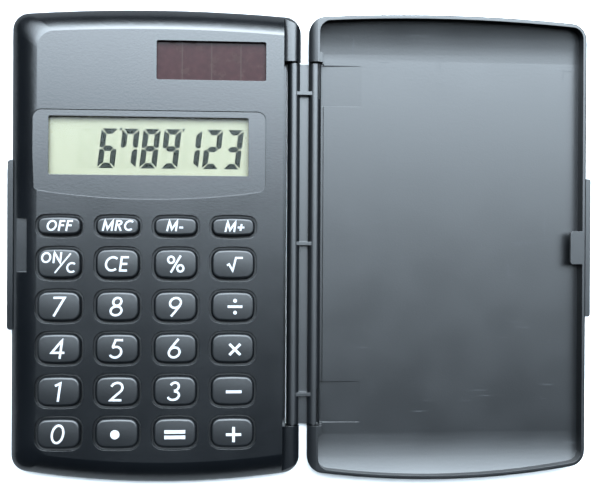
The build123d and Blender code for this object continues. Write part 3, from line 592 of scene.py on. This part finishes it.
# ---- liquid crystal digits -----------------------------------------------------------------------
DIGITS_SHOWN = " 6789123"
SEGMENTS = {
    "1": "bc", "2": "abged", "3": "abgcd", "6": "afgedc", "7": "fabc", "8": "abcdefg",
    "9": "abcdfg", " ": "",
}
THOUSANDS_AFTER = "69"
SEG_HEIGHT, SEG_WIDTH, SEG_PITCH = 9.4 * MM, 4.05 * MM, 4.93 * MM
SEG_THICK, SEG_GAP = 1.3 * MM, 0.09 * MM
SEG_SLANT = radians(6.5)
LENS_LEDGE = 1.4 * MM  # of the lens, hidden under the deck
DIGITS_FROM_RIGHT, DIGITS_FROM_LOW = 1.55 * MM, 1.7 * MM
DIGIT_LIFT = 0.02 * MM
MARK_GAP = 0.12 * MM
TICK_TOP, TICK_LOW = 9.6 * MM, 8.6 * MM
TICK_WIDTH, TICK_TIP = 0.7 * MM, 0.3 * MM
POINT_SIZE = 0.6 * MM


def segment_outlines():
    """Outline of each of the seven segments, with mitred ends."""
    w, h, t, g = SEG_WIDTH, SEG_HEIGHT, SEG_THICK, SEG_GAP
    m = h / 2
    s = t / 2
    left_upper = [(0, h - g - 0.15 * t), (t, h - t - g), (t, m + s + g)]
    left_upper += [(s, m + g), (0, m + g + 0.2 * t)]
    left_lower = [(x, h - y) for x, y in left_upper]
    shapes = {
        "a": [(g + 0.15 * t, h), (w - g - 0.15 * t, h), (w - t - g, h - t), (t + g, h - t)],
        "g": [
            (t + g, m + s), (w - t - g, m + s), (w - s - g, m),
            (w - t - g, m - s), (t + g, m - s), (s + g, m),
        ],
        "f": left_upper,
        "e": left_lower,
    }
    shapes["d"] = [(x, h - y) for x, y in shapes["a"]]
    shapes["b"] = [(w - x, y) for x, y in left_upper]
    shapes["c"] = [(w - x, y) for x, y in left_lower]
    return shapes


def display_digits(dark, ghost):
    """Eight places: the lit segments and, faintly, the unlit ones, just above the polariser."""
    low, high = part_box("lcd_window")
    right = high.x - LENS_LEDGE - DIGITS_FROM_RIGHT
    bottom = low.y + LENS_LEDGE + DIGITS_FROM_LOW
    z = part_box("lcd_polariser_front")[1].z + DIGIT_LIFT
    shapes = segment_outlines()
    lit, faint = ([], []), ([], [])

    def add(target, outline, x0):
        vertices, faces = target
        first = len(vertices)
        middle = SEG_HEIGHT / 2
        for x, y in outline:
            vertices.append((x0 + x + (y - middle) * tan(SEG_SLANT), bottom + y, z))
        faces.append(tuple(range(first, first + len(outline))))

    for place, digit in enumerate(DIGITS_SHOWN):
        x0 = right - SEG_WIDTH - (len(DIGITS_SHOWN) - 1 - place) * SEG_PITCH
        for key, outline in shapes.items():
            add(lit if key in SEGMENTS[digit] else faint, outline, x0)
        mark_x = SEG_WIDTH + MARK_GAP
        tick = [(mark_x, TICK_TOP), (mark_x + TICK_WIDTH, TICK_TOP), (mark_x + TICK_TIP, TICK_LOW)]
        add(lit if digit in THOUSANDS_AFTER else faint, tick, x0)
        far_x = mark_x + POINT_SIZE
        add(faint, [(mark_x, 0), (far_x, 0), (far_x, POINT_SIZE), (mark_x, POINT_SIZE)], x0)
    new_piece("display_digits", lit[0], lit[1], dark, "body")
    new_piece("display_unlit", faint[0], faint[1], ghost, "body")


# ---- under the keys ------------------------------------------------------------------------------
LATHE_STEPS = 28
HOLE_STEPS = 32
SHEET_THICK = 0.4 * MM
HOLE_R = 3.0 * MM
PILL_R, PILL_RIM = 1.5 * MM, 0.08 * MM


def lathe(cx, cy, profile):
    """Closed ring surface from a profile of (radius, z); its two ends lie on the axis."""
    vertices, faces = [], []
    inner = profile[1:-1]
    vertices.append((cx, cy, profile[0][1]))
    for r, z in inner:
        for i in range(LATHE_STEPS):
            a = 2 * pi * i / LATHE_STEPS
            vertices.append((cx + r * cos(a), cy + r * sin(a), z))
    vertices.append((cx, cy, profile[-1][1]))
    last = len(vertices) - 1
    for i in range(LATHE_STEPS):
        j = (i + 1) % LATHE_STEPS
        faces.append((0, 1 + i, 1 + j))
        for k in range(len(inner) - 1):
            a, b = 1 + k * LATHE_STEPS, 1 + (k + 1) * LATHE_STEPS
            faces.append((a + i, b + i, b + j, a + j))
        a = 1 + (len(inner) - 1) * LATHE_STEPS
        faces.append((last, a + j, a + i))
    return vertices, faces


def key_middle(name):
    low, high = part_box(name)
    return (low.x + high.x) / 2, (low.y + high.y) / 2


def rubber_domes():
    """Silicone sheet with a soft dome and a carbon pill under every key."""
    silicone = soft_rubber("dome_rubber", *SILICONE, 0.5)
    carbon = soft_rubber("pill_carbon", *CARBON)
    low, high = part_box("dome_sheet")
    base = low.z
    sheet_top = base + SHEET_THICK
    roof = high.z
    sheet = sheet_with_holes(low, high, base, sheet_top, silicone)
    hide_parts("dome_sheet")
    pill_low, pill_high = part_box("contact_pills")
    first_pill = None
    for name in KEYS:
        cx, cy = key_middle(name)
        profile = [(0, roof), (1.6, roof), (2.1, roof - 0.08 * MM), (2.35, roof - 0.3 * MM)]
        profile += [(2.7, roof - 0.75 * MM), (3.0, sheet_top + 0.1 * MM), (3.3, sheet_top)]
        profile += [(2.9, base), (2.55, base + 0.35 * MM), (2.2, roof - 0.85 * MM)]
        profile += [(1.9, roof - 0.45 * MM), (0, roof - 0.4 * MM)]
        vertices, faces = lathe(cx, cy, [(r * MM, z) for r, z in profile])
        dome = new_piece(
            "dome_" + name[4:], vertices, faces, silicone, "body", smooth=True
        )
        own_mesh(dome)
        inner_r = PILL_R - PILL_RIM
        shape = [(0, pill_high.z), (inner_r, pill_high.z), (PILL_R, pill_high.z - PILL_RIM)]
        shape += [(PILL_R, pill_low.z + PILL_RIM), (inner_r, pill_low.z), (0, pill_low.z)]
        vertices, faces = lathe(cx, cy, shape)
        pill = new_piece(
            "pill_" + name[4:], vertices, faces, carbon, name, smooth=True
        )
        if first_pill is None:
            first_pill = pill
    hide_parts("contact_pills")


def sheet_with_holes(low, high, base, top, material):
    """Flat sheet with a round opening under every dome."""
    openings = [(*key_middle(n), HOLE_R) for n in KEYS]
    made = bpy.data.meshes.new("dome_sheet_base")
    cell = bmesh.new()
    x_lines, y_lines = sheet_lines(low, high, openings)
    grid = {}
    for i in range(len(x_lines) - 1):
        for j in range(len(y_lines) - 1):
            x0, x1 = x_lines[i], x_lines[i + 1]
            y0, y1 = y_lines[j], y_lines[j + 1]
            corners = [(x0, y0), (x1, y0), (x1, y1), (x0, y1)]
            hole = next(o for o in openings if x0 < o[0] < x1 and y0 < o[1] < y1)
            sheet_cell(cell, grid, corners, hole, base, top)
    bmesh.ops.remove_doubles(cell, verts=cell.verts, dist=1e-6)
    bmesh.ops.recalc_face_normals(cell, faces=cell.faces)
    cell.to_mesh(made)
    cell.free()
    made.materials.append(material)
    piece = bpy.data.objects.new("dome_sheet_base", made)
    bpy.context.scene.collection.objects.link(piece)
    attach(piece, "body")
    return piece


def sheet_lines(low, high, openings):
    """Grid lines half way between the openings."""
    xs = sorted({round(o[0], 6) for o in openings})
    ys = sorted({round(o[1], 6) for o in openings})
    x_lines = [low.x] + [(a + b) / 2 for a, b in zip(xs, xs[1:])] + [high.x]
    y_lines = [low.y] + [(a + b) / 2 for a, b in zip(ys, ys[1:])] + [high.y]
    return x_lines, y_lines


def sheet_cell(cell, grid, corners, hole, base, top):
    """One rectangle of the sheet at both heights, with the walls of its hole."""
    cx, cy, r = hole
    steps = HOLE_STEPS
    (x0, y0), (x1, y1) = corners[0], corners[2]
    inner, outer = [], []
    for i in range(steps):
        a = 2 * pi * (i + 0.5) / steps
        dx, dy = cos(a), sin(a)
        reach = min(((x1 if dx > 0 else x0) - cx) / dx, ((y1 if dy > 0 else y0) - cy) / dy)
        inner.append((cx + r * dx, cy + r * dy))
        outer.append((cx + reach * dx, cy + reach * dy))
    for z in (base, top):
        ring_in = [cell.verts.new((x, y, z)) for x, y in inner]
        ring_out = [cell.verts.new((x, y, z)) for x, y in outer]
        for i in range(steps):
            j = (i + 1) % steps
            cell.faces.new((ring_in[i], ring_out[i], ring_out[j], ring_in[j]))
        for x, y in corners:
            near = sorted(range(steps), key=lambda k: hypot(outer[k][0] - x, outer[k][1] - y))[:2]
            tip = cell.verts.new((x, y, z))
            cell.faces.new((tip, ring_out[near[0]], ring_out[near[1]]))
        grid[(cx, cy, z)] = ring_in
    lower, upper = grid[(cx, cy, base)], grid[(cx, cy, top)]
    for i in range(steps):
        j = (i + 1) % steps
        cell.faces.new((lower[i], lower[j], upper[j], upper[i]))


# ---- studio --------------------------------------------------------------------------------------
CAMERA_AT = Vector((14.75, 0.0, 255.0)) * MM
LOOK_AT = Vector((33.83, -0.86, 5.0)) * MM
LENS = 62.7
ROLL = radians(0.3)
SENSOR = 36.0
FLOOR_HALF = 3.0
FLOOR_GAP = 0.05 * MM
FLOOR_PALE = (0.90, 0.90, 0.90, 1.0), (0.93, 0.93, 0.93, 1.0)
FLOOR_BOUNCE = (0.22, 0.22, 0.22, 1.0)
KEY_LIGHT_AT, KEY_LIGHT_TO = (0.05, 0.62, 0.75), (0.03, 0, 0)
KEY_LIGHT_SIZE, KEY_LIGHT_POWER = (0.45, 0.3), 2.0
# Edges of the glow overhead, as parts of a direction's unit vector: none of it at the first
# value and all of it at the second. GLOW_SLANT turns its long edge towards the cover.
GLOW_ALONG = (-0.03, 0.33)
GLOW_UP = (0.3, 0.75)
GLOW_LEFT = (-0.85, -0.25)
GLOW_RIGHT = (0.8, 0.5)
GLOW_SLANT = 0.08
GLOW_STRENGTH = 15.5
GLOW_COLOUR = (0.76, 0.89, 1.0, 1.0)
SURROUNDINGS = 0.02


def camera():
    data = bpy.data.cameras.new("camera")
    data.lens = LENS
    data.sensor_width = SENSOR
    data.clip_start = 0.01
    cam = bpy.data.objects.new("camera", data)
    bpy.context.scene.collection.objects.link(cam)
    cam.location = CAMERA_AT
    away = (LOOK_AT - CAMERA_AT).normalized()
    right = away.cross(Vector((0, 1, 0))).normalized()
    up = right.cross(away)
    cam.rotation_mode = "QUATERNION"
    tilted_right = right * cos(ROLL) + up * sin(ROLL)
    tilted_up = up * cos(ROLL) - right * sin(ROLL)
    cam.rotation_quaternion = Matrix((tilted_right, tilted_up, -away)).transposed().to_quaternion()
    bpy.context.scene.camera = cam


def softbox(name, place, target, width, height, power):
    data = bpy.data.lights.new(name, "AREA")
    data.shape = "RECTANGLE"
    data.size, data.size_y = width, height
    data.energy = power
    lamp = bpy.data.objects.new(name, data)
    bpy.context.scene.collection.objects.link(lamp)
    lamp.location = place
    lamp.rotation_mode = "QUATERNION"
    lamp.rotation_quaternion = (Vector(target) - Vector(place)).to_track_quat("-Z", "Y")


def sky():
    """Studio dome: a bounded soft glow overhead, towards the solar end, over dim surroundings.

    The camera itself sees a plain pale backdrop.
    """
    world = bpy.data.worlds.new("studio")
    world.use_nodes = True
    tree = world.node_tree
    glow = tree.nodes["Background"]
    coords = tree.nodes.new("ShaderNodeTexCoord")
    split = tree.nodes.new("ShaderNodeSeparateXYZ")
    tree.links.new(coords.outputs["Generated"], split.inputs[0])

    def step(value, low, high):
        made = tree.nodes.new("ShaderNodeMapRange")
        made.interpolation_type = "SMOOTHSTEP"
        tree.links.new(value, made.inputs["Value"])
        made.inputs["From Min"].default_value = low
        made.inputs["From Max"].default_value = high
        return made.outputs[0]

    def times(a, b, add=0.0):
        made = tree.nodes.new("ShaderNodeMath")
        made.operation = "MULTIPLY_ADD"
        for socket, value in zip(made.inputs, (a, b, add)):
            if isinstance(value, float):
                socket.default_value = value
            else:
                tree.links.new(value, socket)
        return made.outputs[0]

    across, along, up = split.outputs
    slanted = times(across, GLOW_SLANT, along)
    sides = times(step(across, *GLOW_LEFT), step(across, *GLOW_RIGHT))
    overhead = times(step(slanted, *GLOW_ALONG), step(up, *GLOW_UP))
    strength = times(times(overhead, sides), GLOW_STRENGTH, SURROUNDINGS)
    tree.links.new(strength, glow.inputs["Strength"])
    glow.inputs["Color"].default_value = GLOW_COLOUR
    backdrop = tree.nodes.new("ShaderNodeBackground")
    backdrop.inputs["Strength"].default_value = 1.0
    seen = tree.nodes.new("ShaderNodeLightPath")
    mixed = tree.nodes.new("ShaderNodeMixShader")
    tree.links.new(seen.outputs["Is Camera Ray"], mixed.inputs[0])
    tree.links.new(glow.outputs[0], mixed.inputs[1])
    tree.links.new(backdrop.outputs[0], mixed.inputs[2])
    tree.links.new(mixed.outputs[0], tree.nodes["World Output"].inputs["Surface"])
    bpy.context.scene.world = world


def floor():
    half = FLOOR_HALF
    z = cad_box[0].z - FLOOR_GAP
    mesh = bpy.data.meshes.new("table_top")
    corners = [(-half, -half, z), (half, -half, z), (half, half, z), (-half, half, z)]
    mesh.from_pydata(corners, [], [(0, 1, 2, 3)])
    mesh.materials.append(table_top())
    plane = bpy.data.objects.new("table_top", mesh)
    bpy.context.scene.collection.objects.link(plane)


def studio():
    bpy.context.scene.view_settings.view_transform = "Standard"
    sky()
    softbox("key_light", KEY_LIGHT_AT, KEY_LIGHT_TO, *KEY_LIGHT_SIZE, KEY_LIGHT_POWER)
    floor()
    camera()


# ---- the object ----------------------------------------------------------------------------------
dress_nodes()
ink = printed_ink()
for key_name in KEYS:
    legend(key_name, ink)
display_digits(segment_dark(), segment_ghost())
rubber_domes()
studio()
